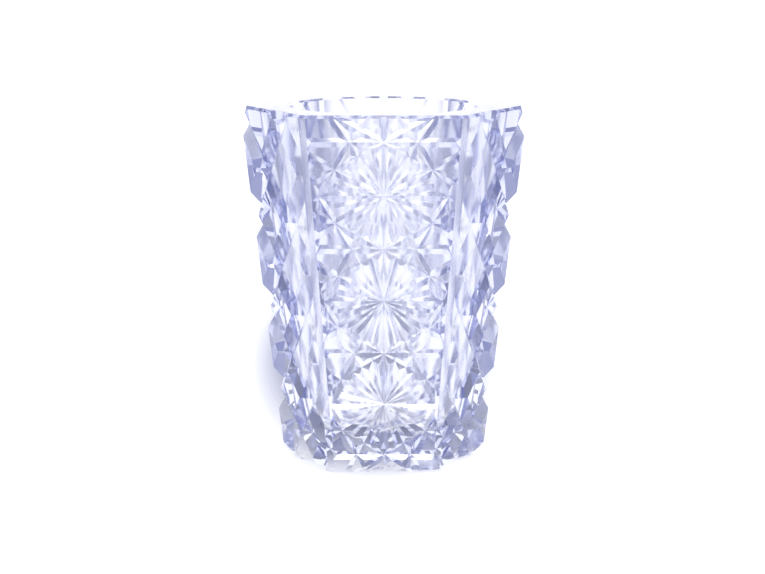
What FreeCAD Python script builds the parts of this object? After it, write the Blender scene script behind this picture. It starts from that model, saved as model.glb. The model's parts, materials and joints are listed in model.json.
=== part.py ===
import FreeCAD, Part
import math
import os

# Cut crystal vase: one block of glass with six tapering panels, a round bore and wheel-cut grooves.
# Millimetres, +Z up, origin at the middle of the flat underside.
# The two wide star panels face -Y and +Y, and the sharp side corners point to -X and +X.
# The four narrower panels between them carry the deep diamond cuts.

Vec = FreeCAD.Vector

# Block.
height = 120.0
rim_depth = 76.8             # across the two star panels, at the rim
base_depth = 58.0            # the same, at the underside
rim_star_width = 53.6        # a star panel at the rim, out to its sharp edges
base_star_width = 35.6       # the same, at the underside
strip_width = 2.6            # flat strip that takes off each edge of a star panel
corner_flat_width = 0.8      # narrow flat that takes off each side corner
rim_bevel = 1.0              # bevel round the outside of the rim

# Hollow.
rim_wall = 6.6               # glass between the bore and a star panel, at the rim
base_wall = 7.0              # the same where the bore's wall line meets its floor
floor_thickness = 12.0
bore_floor_fillet = 7.0
lip_bevel = 0.6

# Diamond cuts on the four side panels.
diamond_cut_depth = 2.8
diamond_wall_angle = 34.0    # between the cut's wall and the panel
first_node_drop = 2.4        # rim to the first crossing at a side corner
node_step = 17.7             # height from that crossing to the next row
node_ratio = 0.955           # each step against the one above it
cells_across = 3             # half diamonds across a panel
corner_node_reach = 1.06     # crossings at the side corner, in half panel widths
strip_node_reach = 0.98      # crossings beside the strip, in half panel widths

# Star cuts on the two wide panels.
star_rows = 3
star_first_height = 6.0      # underside to the lowest crossing, measured up the panel
star_step = 17.6             # from that crossing up to the middle of the first star
star_rim_unit = 19.0         # middle of a star to the corner of its hexagon, at the rim
star_base_unit = 15.4        # the same, at the underside
line_cut_depth = 0.9
line_wall_angle = 30.0
line_reach = 1.6             # cuts run this far past the middle line, in star units
ray_angle = 30.0

run_out_angle = 32.0         # slope at which a cut rises to the surface beside a strip
clear = 4.0                  # how far the cutters stand out of the glass


class Panel:
    """A flat side of the block, with u across it, v up its slope and w out of the glass."""

    def __init__(self, low_left, low_right, high_left, high_right):
        rise = (high_left + high_right - low_left - low_right) / 2
        self.origin = (low_left + low_right) / 2
        self.u = (low_right - low_left).normalize()
        self.length = rise.Length
        self.v = rise.normalize()
        self.w = self.u.cross(self.v).normalize()
        self.low_half = (low_right - low_left).Length / 2
        self.high_half = (high_right - high_left).Length / 2

    def half(self, v):
        return self.low_half + (self.high_half - self.low_half) * v / self.length

    def at(self, u, v, w=0.0):
        return self.origin + self.u * u + self.v * v + self.w * w

    def mitre(self, start, end, depth, wall_angle):
        """A straight V cut from one (u, v) point to another."""
        along = Vec(end[0] - start[0], end[1] - start[1], 0).normalize()
        wide = (depth + clear) / math.tan(math.radians(wall_angle))
        side = Vec(-along.y, along.x, 0) * wide
        bottom = self.at(start[0], start[1], -depth)
        left = self.at(start[0] + side.x, start[1] + side.y, clear)
        right = self.at(start[0] - side.x, start[1] - side.y, clear)
        profile = Part.Face(Part.makePolygon([bottom, left, right, bottom]))
        return profile.extrude(self.at(end[0], end[1]) - self.at(start[0], start[1]))

    def field(self, left_margin, right_margin, depth):
        """The glass that cuts on this panel may touch. Its two ends slope, so that cuts run out there."""
        slope = math.tan(math.radians(run_out_angle))

        def ring(w):
            points = []
            for v, order in ((-2 * clear, 1), (self.length + 2 * clear, -1)):
                left = left_margin - self.half(v) - w / slope
                right = self.half(v) - right_margin + w / slope
                points += [self.at(u, v, w) for u in (left, right)[::order]]
            return points

        return stacked([ring(-depth), ring(clear)])


def stacked(rings):
    """A solid whose plane sides join outlines of the same number of corners, lowest first."""
    faces = [Part.Face(Part.makePolygon(ring + ring[:1])) for ring in (rings[0], rings[-1])]
    for low, high in zip(rings, rings[1:]):
        for i in range(len(low)):
            j = (i + 1) % len(low)
            faces.append(Part.Face(Part.makePolygon([low[i], low[j], high[j], high[i], low[i]])))
    return Part.Solid(Part.Shell(faces))


def sharp_corners(depth, star_width, z):
    """The block's side corner and its star panel's corner, at the front left."""
    side_corner = star_width / 2 + depth / 2 * math.tan(math.radians(30))
    return Vec(-side_corner, 0, z), Vec(-star_width / 2, -depth / 2, z)


def outline(depth, star_width, z):
    """The block's outline at one height, with its strips and corner flats."""
    side_corner, star_corner = sharp_corners(depth, star_width, z)
    along = (star_corner - side_corner).normalize()
    flat_end = side_corner + along * (corner_flat_width / 2 / math.sin(math.radians(60)))
    strip_end = star_corner - along * (strip_width / 2 / math.cos(math.radians(30)))
    star_end = star_corner + Vec(strip_width / 2 / math.cos(math.radians(30)), 0, 0)
    front = [flat_end, strip_end, star_end]
    front += [Vec(-p.x, p.y, z) for p in reversed(front)]
    return front + [Vec(-p.x, -p.y, z) for p in front]


def block():
    shoulder = height - rim_bevel
    share = shoulder / height
    depth = base_depth + (rim_depth - base_depth) * share
    width = base_star_width + (rim_star_width - base_star_width) * share
    rim_width = rim_star_width - 2 * rim_bevel * math.tan(math.radians(30))
    return stacked([outline(base_depth, base_star_width, 0),
                    outline(depth, width, shoulder),
                    outline(rim_depth - 2 * rim_bevel, rim_width, height)])


def hollow():
    """The round tapering bore, turned from a half profile with a rounded floor and a bevelled lip."""
    rim_radius = rim_depth / 2 - rim_wall
    floor_radius = base_depth / 2 - base_wall
    lean = math.atan2(rim_radius - floor_radius, height - floor_thickness)
    back = bore_floor_fillet * math.tan((math.pi / 2 - lean) / 2)
    on_floor = Vec(floor_radius - back, 0, floor_thickness)
    on_wall = Vec(floor_radius + back * math.sin(lean), 0, floor_thickness + back * math.cos(lean))
    turn = (math.pi / 2 + lean) / 2
    middle = on_floor + Vec(math.cos(turn), 0, 1 - math.sin(turn)) * bore_floor_fillet
    lip_low = Vec(rim_radius - lip_bevel * math.tan(lean), 0, height - lip_bevel)
    lip_high = Vec(rim_radius + lip_bevel, 0, height)
    over_lip = lip_high + Vec(clear, 0, clear)
    over_axis = Vec(0, 0, height + clear)
    on_axis = Vec(0, 0, floor_thickness)
    edges = [Part.makeLine(on_axis, on_floor), Part.Arc(on_floor, middle, on_wall).toShape()]
    path = [on_wall, lip_low, lip_high, over_lip, over_axis, on_axis]
    edges += [Part.makeLine(a, b) for a, b in zip(path, path[1:])]
    return Part.Face(Part.Wire(edges)).revolve(Vec(0, 0, 0), Vec(0, 0, 1), 360)


def diamond_cuts(panel):
    """Crossing cuts that leave diamonds standing. The panel's left edge is the side corner."""

    def node(row, reach):
        drop = node_step * (1 - node_ratio ** row) / (1 - node_ratio)
        v = (height - first_node_drop - drop) * panel.length / height
        return Vec(reach * panel.half(v), v, 0)

    cutters = []
    row = 1 - cells_across
    while node(row, 0).y > -cells_across * node_step:
        for way in (-cells_across, cells_across):
            start = node(row, -corner_node_reach)
            end = node(row + way, strip_node_reach)
            lead = (end - start).normalize() * 3 * clear
            start, end = start - lead, end + lead
            ends = (start.x, start.y), (end.x, end.y)
            cutters.append(panel.mitre(*ends, diamond_cut_depth, diamond_wall_angle))
        row += 2
    return cutters


def star_cuts(panel):
    """Straight cuts that cross in the middle of each star, and the net of hexagons around them."""

    def spot(across, up):
        v = star_first_height + up * star_step
        unit = star_base_unit + (star_rim_unit - star_base_unit) * v / panel.length
        return across * unit, v

    lines = [(spot(0, -1), spot(0, 2 * star_rows + 1))]
    for up in range(2 * star_rows + 1):
        lines.append((spot(-line_reach, up), spot(line_reach, up)))
        shallow = line_reach * math.tan(math.radians(ray_angle))
        for way in (-1, 1):
            lines.append((spot(-line_reach, up - way * shallow), spot(line_reach, up + way * shallow)))
    for up in range(-1, 2 * star_rows + 2, 2):
        steep = line_reach * math.tan(math.radians(2 * ray_angle))
        for way in (-1, 1):
            for end in (-line_reach, line_reach):
                lines.append((spot(0, up), spot(end, up + way * end / line_reach * steep)))
    return [panel.mitre(start, end, line_cut_depth, line_wall_angle) for start, end in lines]


def main():
    low_side, low_star = sharp_corners(base_depth, base_star_width, 0)
    high_side, high_star = sharp_corners(rim_depth, rim_star_width, height)
    side_panel = Panel(low_side, low_star, high_side, high_star)
    star_panel = Panel(low_star, Vec(-low_star.x, low_star.y, 0),
                       high_star, Vec(-high_star.x, high_star.y, height))
    edge_loss = strip_width / 2 / math.cos(math.radians(30))

    diamonds = diamond_cuts(side_panel)
    diamonds = diamonds[0].multiFuse(diamonds[1:])
    diamonds = diamonds.common(side_panel.field(-6 * clear, edge_loss, 1.2 * diamond_cut_depth))
    stars = star_cuts(star_panel)
    stars = stars[0].multiFuse(stars[1:])
    stars = stars.common(star_panel.field(edge_loss, edge_loss, 1.2 * line_cut_depth))

    x_axis = Vec(1, 0, 0)
    y_axis = Vec(0, 1, 0)
    origin = Vec(0, 0, 0)
    body = block().cut(hollow())
    tools = [diamonds, diamonds.mirror(origin, x_axis), stars]
    tools += [tool.mirror(origin, y_axis) for tool in tools]
    for tool in tools:
        body = body.cut(tool)
    os.makedirs("parts", exist_ok=True)
    body.Solids[0].exportStep("parts/vase_body.step")


main()
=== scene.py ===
import json
from math import atan2, cos, pi, radians, sin, sqrt, tan

import bmesh
import bpy
from mathutils import Matrix, Vector

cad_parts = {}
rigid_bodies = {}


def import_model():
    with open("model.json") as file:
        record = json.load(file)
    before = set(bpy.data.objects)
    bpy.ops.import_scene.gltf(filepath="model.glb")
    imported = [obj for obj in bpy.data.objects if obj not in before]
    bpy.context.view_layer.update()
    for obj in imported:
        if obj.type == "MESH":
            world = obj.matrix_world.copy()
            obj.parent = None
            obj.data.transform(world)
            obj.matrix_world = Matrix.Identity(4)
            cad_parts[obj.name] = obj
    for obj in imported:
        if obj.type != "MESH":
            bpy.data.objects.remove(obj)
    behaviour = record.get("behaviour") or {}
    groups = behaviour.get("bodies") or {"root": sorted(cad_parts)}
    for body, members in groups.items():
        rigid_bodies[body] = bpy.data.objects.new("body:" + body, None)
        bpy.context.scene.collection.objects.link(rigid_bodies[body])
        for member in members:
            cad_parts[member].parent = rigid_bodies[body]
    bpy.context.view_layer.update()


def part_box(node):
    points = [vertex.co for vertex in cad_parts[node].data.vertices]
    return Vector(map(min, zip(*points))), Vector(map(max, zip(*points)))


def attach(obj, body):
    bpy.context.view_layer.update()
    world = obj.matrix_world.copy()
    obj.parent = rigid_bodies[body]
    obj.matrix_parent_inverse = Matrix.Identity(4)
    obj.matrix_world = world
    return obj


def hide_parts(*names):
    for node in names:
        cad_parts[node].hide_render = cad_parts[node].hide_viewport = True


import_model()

# The block: a pressed blank of lead crystal, six-sided and wider at the rim, ground flat on all its panels.
# The four edges beside the star panels are ground off as narrow strips, the two side corners barely,
# and the rim has a narrow bevel outside.
MM = 0.001
low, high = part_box("vase_body")
height = high.z - low.z
rim_half_depth = 38.4 * MM
base_half_depth = 29.0 * MM
rim_half_star = 26.8 * MM
base_half_star = 17.8 * MM
strip_width = 2.6 * MM
corner_flat_width = 0.8 * MM
rim_bevel = 1.0 * MM
lean_out = tan(radians(30))


def panel_corners(half_depth, half_star, z):
    """The side corner and the star panel's corner at the front left, before they are ground off."""
    return Vector((-half_star - half_depth * lean_out, 0, z)), Vector((-half_star, -half_depth, z))


def mesh_object(name, bm):
    """A finished bmesh as an object at the origin."""
    mesh = bpy.data.meshes.new(name)
    bm.to_mesh(mesh)
    bm.free()
    obj = bpy.data.objects.new(name, mesh)
    bpy.context.scene.collection.objects.link(obj)
    return obj


def hexagon(half_depth, half_star, z):
    """The six corners of the block at one height."""
    side, star = panel_corners(half_depth, half_star, z)
    return [side, star, Vector((-star.x, star.y, z)), Vector((-side.x, 0, z)),
            Vector((-star.x, -star.y, z)), Vector((star.x, -star.y, z))]


bm = bmesh.new()
ring = [bm.verts.new(p) for p in hexagon(base_half_depth, base_half_star, low.z)]
sole = bm.faces.new(ring)
raised = bmesh.ops.extrude_face_region(bm, geom=[sole])["geom"]
top_ring = [v for v in raised if isinstance(v, bmesh.types.BMVert)]
rim_points = hexagon(rim_half_depth, rim_half_star, high.z)
for v in top_ring:
    v.co = rim_points[min(range(6), key=lambda i: (ring[i].co - v.co).length)]
bmesh.ops.recalc_face_normals(bm, faces=bm.faces)
star_edges = [e for e in bm.edges if abs(e.verts[0].co.z - e.verts[1].co.z) > height / 2
              and abs(e.verts[0].co.y) > MM]
bmesh.ops.bevel(bm, geom=star_edges, offset=strip_width, offset_type="WIDTH", affect="EDGES",
                segments=1, profile=0.5, material=-1)
side_corners = [e for e in bm.edges if abs(e.verts[0].co.z - e.verts[1].co.z) > height / 2
                and abs(e.verts[0].co.y) < MM]
bmesh.ops.bevel(bm, geom=side_corners, offset=corner_flat_width, offset_type="WIDTH", affect="EDGES",
                segments=1, profile=0.5, material=-1)
rim_edges = [e for e in bm.edges if all(v.co.z > high.z - MM for v in e.verts)]
bmesh.ops.bevel(bm, geom=rim_edges, offset=rim_bevel, offset_type="OFFSET", affect="EDGES",
                segments=1, profile=0.5, material=-1)
vase = mesh_object("cut_crystal_vase", bm)

# The round hollow: pressed by the mould's plunger, a little narrower towards its rounded floor.
# Its lip carries a narrow polished bevel.
bore_rim_radius = 31.8 * MM
bore_floor_radius = 22.0 * MM
floor_thickness = 12.0 * MM
floor_fillet = 7.0 * MM
lip_bevel = 0.6 * MM
fillet_steps = 24
bore_facets = 360
clear = 4.0 * MM  # how far every cutter stands out of the glass
bore_lean = atan2(bore_rim_radius - bore_floor_radius, height - floor_thickness)

back = floor_fillet * tan((pi / 2 - bore_lean) / 2)
profile = [(0, floor_thickness)]
for i in range(fillet_steps + 1):
    turn = (pi / 2 - bore_lean) * i / fillet_steps
    profile.append((bore_floor_radius - back + floor_fillet * sin(turn),
                    floor_thickness + floor_fillet * (1 - cos(turn))))
profile.append((bore_rim_radius - lip_bevel * tan(bore_lean), height - lip_bevel))
profile.append((bore_rim_radius + lip_bevel, height))
profile.append((bore_rim_radius + lip_bevel + clear, height + clear))
profile.append((0, height + clear))
bm = bmesh.new()
line = [bm.verts.new((r, 0, low.z + z)) for r, z in profile]
edges = [bm.edges.new(pair) for pair in zip(line, line[1:])]
bmesh.ops.spin(bm, geom=line + edges, cent=(0, 0, 0), axis=(0, 0, 1), angle=2 * pi, steps=bore_facets,
               use_merge=True)
bmesh.ops.remove_doubles(bm, verts=bm.verts, dist=MM / 1000)
bmesh.ops.recalc_face_normals(bm, faces=bm.faces)
core = mesh_object("bore_core", bm)


def cut(target, tool, operation="DIFFERENCE"):
    """Cuts one object, or a whole collection of them, out of the target and removes the tools."""
    step = target.modifiers.new("cut", "BOOLEAN")
    step.operation = operation
    step.solver = "MANIFOLD"
    tools = [tool]
    if isinstance(tool, bpy.types.Collection):
        step.operand_type = "COLLECTION"
        step.collection = tool
        tools = list(tool.objects)
    else:
        step.object = tool
    shape = bpy.data.meshes.new_from_object(target.evaluated_get(bpy.context.evaluated_depsgraph_get()))
    target.modifiers.clear()
    target.data = shape
    for t in tools:
        bpy.data.objects.remove(t)


cut(vase, core)

# The diamond cuts: four narrower panels, each crossed by the deep V cuts of a wide wheel, which leave a
# net of diamonds. The cuts run off at the side corner and stop beside the narrow strip.
run_out_angle = 32.0
slab_to_cut = 1.2
diamond_depth = 2.8 * MM
diamond_wall = 34.0
first_node_drop = 2.4 * MM
node_step = 17.7 * MM
node_ratio = 0.955
cells = 3
corner_reach = -1.06
strip_reach = 0.98


def panel_matrix(low_left, low_right, high_left, high_right):
    """Panel coordinates to the vase: x across, y up the slope, z out of the glass."""
    across = (low_right - low_left).normalized()
    rise = (high_left + high_right - low_left - low_right) / 2
    up = rise.normalized()
    place = Matrix((across, up, across.cross(up))).transposed().to_4x4()
    place.translation = (low_left + low_right) / 2
    return place, rise.length


def v_bar(group, place, start, end, depth, wall_angle):
    """A bar of V section, point down, lying along one cut of a panel."""
    start, end = Vector(start).to_3d(), Vector(end).to_3d()
    along = end - start
    wide = (depth + clear) / tan(radians(wall_angle))
    bm = bmesh.new()
    points = [(0, -depth), (wide, clear), (-wide, clear)]
    face = bm.faces.new([bm.verts.new((0, x, z)) for x, z in points])
    grown = bmesh.ops.extrude_face_region(bm, geom=[face])["geom"]
    far = [v for v in grown if isinstance(v, bmesh.types.BMVert)]
    bmesh.ops.translate(bm, verts=far, vec=(along.length, 0, 0))
    bmesh.ops.recalc_face_normals(bm, faces=bm.faces)
    turn = Matrix.Rotation(atan2(along.y, along.x), 4, "Z")
    bm.transform(place @ Matrix.Translation(start) @ turn)
    group.objects.link(mesh_object("bar", bm))


def panel_slab(place, half, length, left_margin, right_margin, cut_depth):
    """The part of a panel its cuts may touch. Its ends slope, as a wheel lifting out of a cut does."""
    depth = slab_to_cut * cut_depth
    lo, hi = -2 * clear, length + 2 * clear
    outline = [(left_margin - half(lo), lo), (half(lo) - right_margin, lo),
               (half(hi) - right_margin, hi), (left_margin - half(hi), hi)]
    run_out = 1 / tan(radians(run_out_angle))
    bm = bmesh.new()
    floor_ring = [bm.verts.new((x - depth * run_out * (1 if x > 0 else -1), y, -depth))
                  for x, y in outline]
    grown = bmesh.ops.extrude_face_region(bm, geom=[bm.faces.new(floor_ring)])["geom"]
    far = [v for v in grown if isinstance(v, bmesh.types.BMVert)]
    bmesh.ops.translate(bm, verts=far, vec=(0, 0, depth + clear))
    for v in far:
        v.co.x += (depth + clear) * run_out * (1 if v.co.x > 0 else -1)
    bmesh.ops.recalc_face_normals(bm, faces=bm.faces)
    bm.transform(place)
    return mesh_object("slab", bm)


edge_loss = strip_width / 2 / cos(radians(30))
past_corner = 6 * clear
low_side, low_star = panel_corners(base_half_depth, base_half_star, low.z)
high_side, high_star = panel_corners(rim_half_depth, rim_half_star, high.z)
side_place, side_length = panel_matrix(low_side, low_star, high_side, high_star)
side_low_half, side_high_half = (low_star - low_side).length / 2, (high_star - high_side).length / 2


def side_half(v):
    """Half the width of a diamond panel at a height up its slope."""
    return side_low_half + (side_high_half - side_low_half) * v / side_length


def node(row, reach):
    """Where cuts cross, counted in rows from the rim; the rows draw closer towards the foot."""
    drop = node_step * (1 - node_ratio ** row) / (1 - node_ratio)
    v = (height - first_node_drop - drop) * side_length / height
    return Vector((reach * side_half(v), v, 0))


bars = bpy.data.collections.new("diamond_bars")
bpy.context.scene.collection.children.link(bars)
row = 1 - cells
while node(row, 0).y > -cells * node_step:
    for way in (-cells, cells):
        start, end = node(row, corner_reach), node(row + way, strip_reach)
        run_on = (end - start).normalized() * 3 * clear
        v_bar(bars, side_place, start - run_on, end + run_on, diamond_depth, diamond_wall)
    row += 2
first = bars.objects[0]
bars.objects.unlink(first)
cut(first, bars, "UNION")
slab = panel_slab(side_place, side_half, side_length, -past_corner, edge_loss, diamond_depth)
cut(first, slab, "INTERSECT")


def mirrored(obj, x, y):
    """A copy on another side of the vase."""
    copy = bpy.data.objects.new(obj.name, obj.data.copy())
    bm = bmesh.new()
    bm.from_mesh(copy.data)
    bmesh.ops.scale(bm, verts=bm.verts, vec=(x, y, 1))
    if x * y < 0:
        bmesh.ops.reverse_faces(bm, faces=bm.faces)
    bm.to_mesh(copy.data)
    bm.free()
    bpy.context.scene.collection.objects.link(copy)
    return copy


for x, y in ((-1, 1), (1, -1), (-1, -1)):
    cut(vase, mirrored(first, x, y))
cut(vase, first)

# The star cuts: two wide panels, cut with a narrow wheel. Straight cuts cross in the middle of each star,
# a net of hexagons runs round them, and short cuts fill each star to twenty-four rays.
star_rows = 3
star_first_height = 6.0 * MM
star_step = 17.6 * MM
star_rim_unit = 19.0 * MM
star_base_unit = 15.4 * MM
line_depth = 0.9 * MM
line_wall = 30.0
line_reach = 1.6
short_rays = 12
ray_gap = 360 / short_rays
hexagon_reach = sqrt(3) / 2
star_place, star_length = panel_matrix(low_star, Vector((-low_star.x, low_star.y, low.z)),
                                       high_star, Vector((-high_star.x, high_star.y, high.z)))


def star_half(v):
    """Half the width of a star panel at a height up its slope."""
    return base_half_star + (rim_half_star - base_half_star) * v / star_length


def spot(across, up):
    """A place on a star panel, in star sizes from the middle line and the lowest crossing."""
    v = star_first_height + up * star_step
    return Vector((across * (star_base_unit + (star_rim_unit - star_base_unit) * v / star_length), v))


bars = bpy.data.collections.new("star_bars")
bpy.context.scene.collection.children.link(bars)
v_bar(bars, star_place, spot(0, -1), spot(0, 2 * star_rows + 1), line_depth, line_wall)
for up in range(2 * star_rows + 1):
    v_bar(bars, star_place, spot(-line_reach, up), spot(line_reach, up), line_depth, line_wall)
    rise = line_reach * tan(radians(30))
    for way in (-1, 1):
        ends = spot(-line_reach, up - way * rise), spot(line_reach, up + way * rise)
        v_bar(bars, star_place, *ends, line_depth, line_wall)
for up in range(-1, 2 * star_rows + 2, 2):
    rise = line_reach * tan(radians(60))
    for way in (-1, 1):
        for end in (-1, 1):
            tip = spot(end * line_reach, up + way * end * rise)
            v_bar(bars, star_place, spot(0, up), tip, line_depth, line_wall)
for up in range(1, 2 * star_rows, 2):
    for k in range(short_rays):
        angle = radians(ray_gap / 2 + ray_gap * k)
        r = hexagon_reach / cos(radians(ray_gap / 2))
        tip = spot(r * cos(angle), up + r * sin(angle))
        v_bar(bars, star_place, spot(0, up), tip, line_depth, line_wall)
first = bars.objects[0]
bars.objects.unlink(first)
cut(first, bars, "UNION")
slab = panel_slab(star_place, star_half, star_length, edge_loss, edge_loss, line_depth)
cut(first, slab, "INTERSECT")
cut(vase, mirrored(first, 1, -1))
cut(vase, first)

# The glass: lead crystal with a faint lavender cast that shows only in its depth. The cuts are polished
# bright, with the slight ripple that polishing leaves, and the pressed hollow keeps a soft bloom.


def add(tree, kind, settings=None, links=None):
    """Adds one node with its settings and what feeds it."""
    n = tree.nodes.new(kind)
    for key, value in (settings or {}).items():
        if isinstance(key, int) or key in n.inputs:
            n.inputs[key].default_value = value
        else:
            setattr(n, key, value)
    for key, source in (links or {}).items():
        tree.links.new(source, n.inputs[key])
    return n


def linear(colour):
    """An sRGB hex colour as linear light."""
    parts = [int(colour[i:i + 2], 16) / 255 for i in (1, 3, 5)]
    return [c / 12.92 if c <= 0.04045 else ((c + 0.055) / 1.055) ** 2.4 for c in parts] + [1]


bloom_roughness = 0.18
bloom_depth, bloom_end = 0.6 * MM, 0.9 * MM
ripple_width = 5.0 * MM
ripple_height = 0.012 * MM
glass = bpy.data.materials.new("lead_crystal_cut_and_polished")
glass.use_nodes = True
tree = glass.node_tree
tree.nodes.clear()
place = add(tree, "ShaderNodeTexCoord")
axes = add(tree, "ShaderNodeSeparateXYZ", links={0: place.outputs["Object"]})
level = add(tree, "ShaderNodeCombineXYZ", links={"X": axes.outputs["X"], "Y": axes.outputs["Y"]})
radius = add(tree, "ShaderNodeVectorMath", {"operation": "LENGTH"}, {0: level.outputs[0]})
bore = add(tree, "ShaderNodeMapRange", {
    "From Min": floor_thickness, "From Max": height,
    "To Min": bore_floor_radius, "To Max": bore_rim_radius}, {"Value": axes.outputs["Z"]})
into_wall = add(tree, "ShaderNodeMath", {"operation": "SUBTRACT"},
                {0: radius.outputs["Value"], 1: bore.outputs[0]})
# The bloom covers only what lies within a millimetre of the bore, so it stops at the lip's bevel.
bloom = add(tree, "ShaderNodeMapRange", {
    "From Min": bloom_depth, "From Max": bloom_end, "To Min": bloom_roughness, "To Max": 0.0},
    {"Value": into_wall.outputs[0]})
ripple = add(tree, "ShaderNodeTexNoise", {"Scale": 1 / ripple_width, "Detail": 1.0},
             {"Vector": place.outputs["Object"]})
relief = add(tree, "ShaderNodeBump", {"Strength": 1.0, "Distance": ripple_height},
             {"Height": ripple.outputs[0]})
surface = add(tree, "ShaderNodeBsdfPrincipled", {
    "Base Color": linear("#FFFFFF"), "IOR": 1.54, "Transmission Weight": 1.0},
    {"Roughness": bloom.outputs[0], "Normal": relief.outputs[0]})
depth_tint = add(tree, "ShaderNodeVolumeAbsorption", {"Color": linear("#A4AEE0"), "Density": 11.0})
add(tree, "ShaderNodeOutputMaterial",
    links={"Surface": surface.outputs[0], "Volume": depth_tint.outputs[0]})
vase.data.materials.clear()
vase.data.materials.append(glass)
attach(vase, "root")
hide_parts("vase_body")

# The table: a sheet of matt white acrylic over a light panel, a band that widens away from the camera.
# Its glow carries a painted shadow: it is darkened in an oval under the back of the vase, which gives the
# glass its lavender middle, and painted a little darker round the foot as a contact shadow.
table_half_width = 20.0
panel_middle = 0.02
panel_spread = 0.25
lit_half_width, dark_half_width = 0.16, 0.34
dark_front, lit_front = -0.30, -0.14
# Middle and half size of the painted shadow: an oval behind the vase where the table's glow is darkened.
painted_shadow_middle = (-0.004, 0.19, 0)
painted_shadow_half_size = (0.045, 0.19, 1)
# Radii of the painted contact shadow round the foot: darkest inside the first, gone past the second.
painted_foot_shadow_radius, painted_foot_shadow_end_radius = 0.031, 0.040
grain_width = 2 * MM
bm = bmesh.new()
bmesh.ops.create_grid(bm, x_segments=1, y_segments=1, size=table_half_width)
table = mesh_object("light_table", bm)
acrylic = bpy.data.materials.new("matt_white_acrylic_sheet")
acrylic.use_nodes = True
tree = acrylic.node_tree
place = add(tree, "ShaderNodeTexCoord")
axes = add(tree, "ShaderNodeSeparateXYZ", links={0: place.outputs["Object"]})
from_middle = add(tree, "ShaderNodeMath", {"operation": "SUBTRACT", 1: panel_middle},
                  {0: axes.outputs["X"]})
aside = add(tree, "ShaderNodeMath", {"operation": "ABSOLUTE"}, {0: from_middle.outputs[0]})
fan = add(tree, "ShaderNodeMath", {"operation": "MULTIPLY_ADD", 1: -panel_spread},
          {0: axes.outputs["Y"], 2: aside.outputs[0]})
band = add(tree, "ShaderNodeMapRange", {
    "interpolation_type": "SMOOTHSTEP", "From Min": lit_half_width, "From Max": dark_half_width,
    "To Min": 1.0, "To Max": 0.2}, {"Value": fan.outputs[0]})
front = add(tree, "ShaderNodeMapRange", {
    "interpolation_type": "SMOOTHSTEP", "From Min": dark_front, "From Max": lit_front, "To Min": 0.25},
    {"Value": axes.outputs["Y"]})
# Painted shadow: the glow drops to a tenth inside an oval under the back of the vase, fading out past it.
painted_shadow_mapping = add(tree, "ShaderNodeMapping", {
    "vector_type": "TEXTURE", "Location": painted_shadow_middle, "Scale": painted_shadow_half_size},
    {"Vector": place.outputs["Object"]})
from_painted_shadow = add(tree, "ShaderNodeVectorMath", {"operation": "LENGTH"}, {0: painted_shadow_mapping.outputs[0]})
past_painted_shadow = add(tree, "ShaderNodeMapRange", {
    "interpolation_type": "SMOOTHSTEP", "From Min": 0.7, "From Max": 1.35, "To Min": 0.1},
    {"Value": from_painted_shadow.outputs["Value"]})
# Painted contact shadow: the glow is dimmed to 0.8 within a disc round the foot.
from_painted_foot_shadow = add(tree, "ShaderNodeVectorMath", {"operation": "LENGTH"}, {0: place.outputs["Object"]})
past_painted_foot_shadow = add(tree, "ShaderNodeMapRange", {
    "interpolation_type": "SMOOTHSTEP", "From Min": painted_foot_shadow_radius, "From Max": painted_foot_shadow_end_radius,
    "To Min": 0.8}, {"Value": from_painted_foot_shadow.outputs["Value"]})
panel = add(tree, "ShaderNodeMath", {"operation": "MULTIPLY"}, {0: band.outputs[0], 1: front.outputs[0]})
# What is left of the glow outside both painted shadows.
outside_painted_shadows = add(tree, "ShaderNodeMath", {"operation": "MULTIPLY"},
                {0: past_painted_shadow.outputs[0], 1: past_painted_foot_shadow.outputs[0]})
glow = add(tree, "ShaderNodeMath", {"operation": "MULTIPLY"},
           {0: panel.outputs[0], 1: outside_painted_shadows.outputs[0]})
grain = add(tree, "ShaderNodeTexNoise", {"Scale": 1 / grain_width, "Detail": 2.0},
            {"Vector": place.outputs["Object"]})
matt = add(tree, "ShaderNodeMapRange", {"To Min": 0.55, "To Max": 0.7}, {"Value": grain.outputs[0]})
sheet = tree.nodes["Principled BSDF"]
sheet.inputs["Base Color"].default_value = linear("#A4A6B4")
sheet.inputs["Emission Color"].default_value = linear("#FFFFFF")
tree.links.new(matt.outputs[0], sheet.inputs["Roughness"])
# The emission is the light panel's glow with the painted shadows taken out of it.
tree.links.new(glow.outputs[0], sheet.inputs["Emission Strength"])
table.data.materials.append(acrylic)

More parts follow.
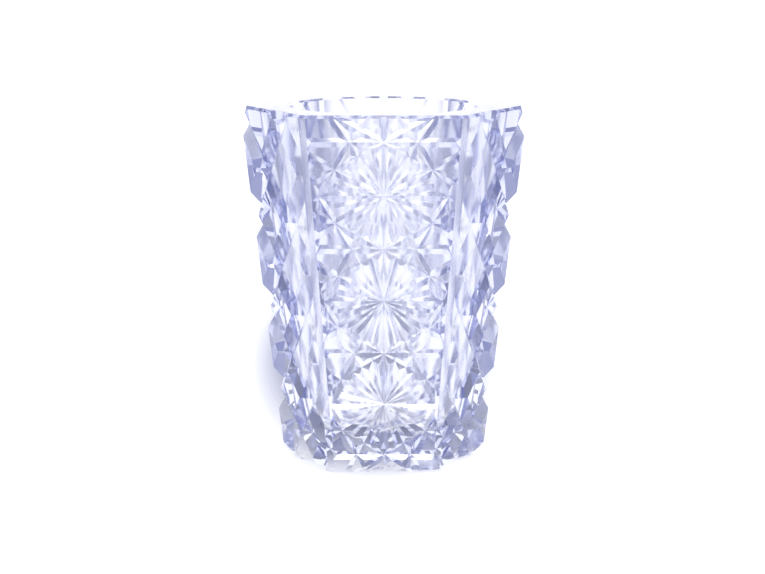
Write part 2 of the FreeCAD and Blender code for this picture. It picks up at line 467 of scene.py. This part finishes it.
# The studio: a dim lavender room with a bright low backdrop behind the table, and one soft light high
# in front. The camera looks slightly down at the middle of the vase.
world = bpy.data.worlds.new("studio")
world.use_nodes = True
bpy.context.scene.world = world
tree = world.node_tree
tree.nodes.clear()
way = add(tree, "ShaderNodeTexCoord")
axes = add(tree, "ShaderNodeSeparateXYZ", links={0: way.outputs["Generated"]})
behind = add(tree, "ShaderNodeMapRange", {"From Min": 0.2, "From Max": 0.75},
             {"Value": axes.outputs["Y"]})
low_down = add(tree, "ShaderNodeMapRange", {
    "From Min": 0.25, "From Max": 0.4, "To Min": 1.0, "To Max": 0.0}, {"Value": axes.outputs["Z"]})
share = add(tree, "ShaderNodeMath", {"operation": "MULTIPLY"},
            {0: behind.outputs[0], 1: low_down.outputs[0]})
room = add(tree, "ShaderNodeBackground", {"Color": linear("#A2A8D0")})
backdrop = add(tree, "ShaderNodeBackground", {"Color": linear("#FFFFFF"), "Strength": 1.4})
both = add(tree, "ShaderNodeMixShader",
           links={0: share.outputs[0], 1: room.outputs[0], 2: backdrop.outputs[0]})
add(tree, "ShaderNodeOutputWorld", links={"Surface": both.outputs[0]})

lamp = bpy.data.lights.new("softbox", "AREA")
lamp.shape = "RECTANGLE"
lamp.size = 0.6
lamp.size_y = 0.35
lamp.energy = 12
softbox = bpy.data.objects.new("softbox", lamp)
softbox.location = (0.1, -1.2, 0.75)
softbox.rotation_euler = (radians(58), 0, radians(5))
bpy.context.scene.collection.objects.link(softbox)

camera = bpy.data.cameras.new("camera")
camera.sensor_width = 36
camera.lens = 100.6
camera.clip_start = 0.01
eye = bpy.data.objects.new("camera", camera)
eye.location = (-0.0004, -0.72, 0.1856)
eye.rotation_euler = (radians(79.92), 0, 0)
bpy.context.scene.collection.objects.link(eye)
bpy.context.scene.camera = eye
bpy.context.scene.view_settings.view_transform = "Standard"
bpy.context.scene.cycles.max_bounces = 40
bpy.context.scene.cycles.transmission_bounces = 40
bpy.context.scene.cycles.glossy_bounces = 12
